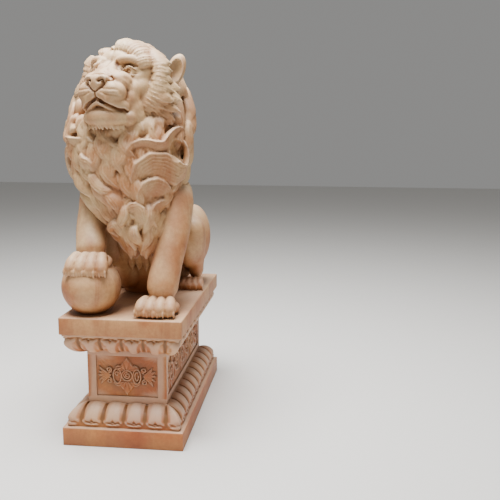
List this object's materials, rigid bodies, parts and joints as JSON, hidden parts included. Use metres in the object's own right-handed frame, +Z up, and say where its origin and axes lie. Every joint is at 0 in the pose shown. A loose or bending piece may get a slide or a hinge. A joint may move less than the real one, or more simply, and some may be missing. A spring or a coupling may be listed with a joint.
{
  "type": "lion statue",
  "caption": "Seated stone lion with its head turned and one forepaw on a ball, on a moulded rectangular pedestal; a garden or gateway figure.",
  "frame": {"origin": "middle of the pedestal's underside", "axes": "+Z up, the lion's body faces -Y, +X is on the right of someone who looks at its front"},
  "size_m": [0.6795, 1.159, 2.0188],
  "materials": {
    "marble": "honed cream and rose marble, weathered"
  },
  "bodies": {
    "root": {"lion_with_ball_and_slab": "marble", "pedestal": "marble"}
  },
  "joints": []
}
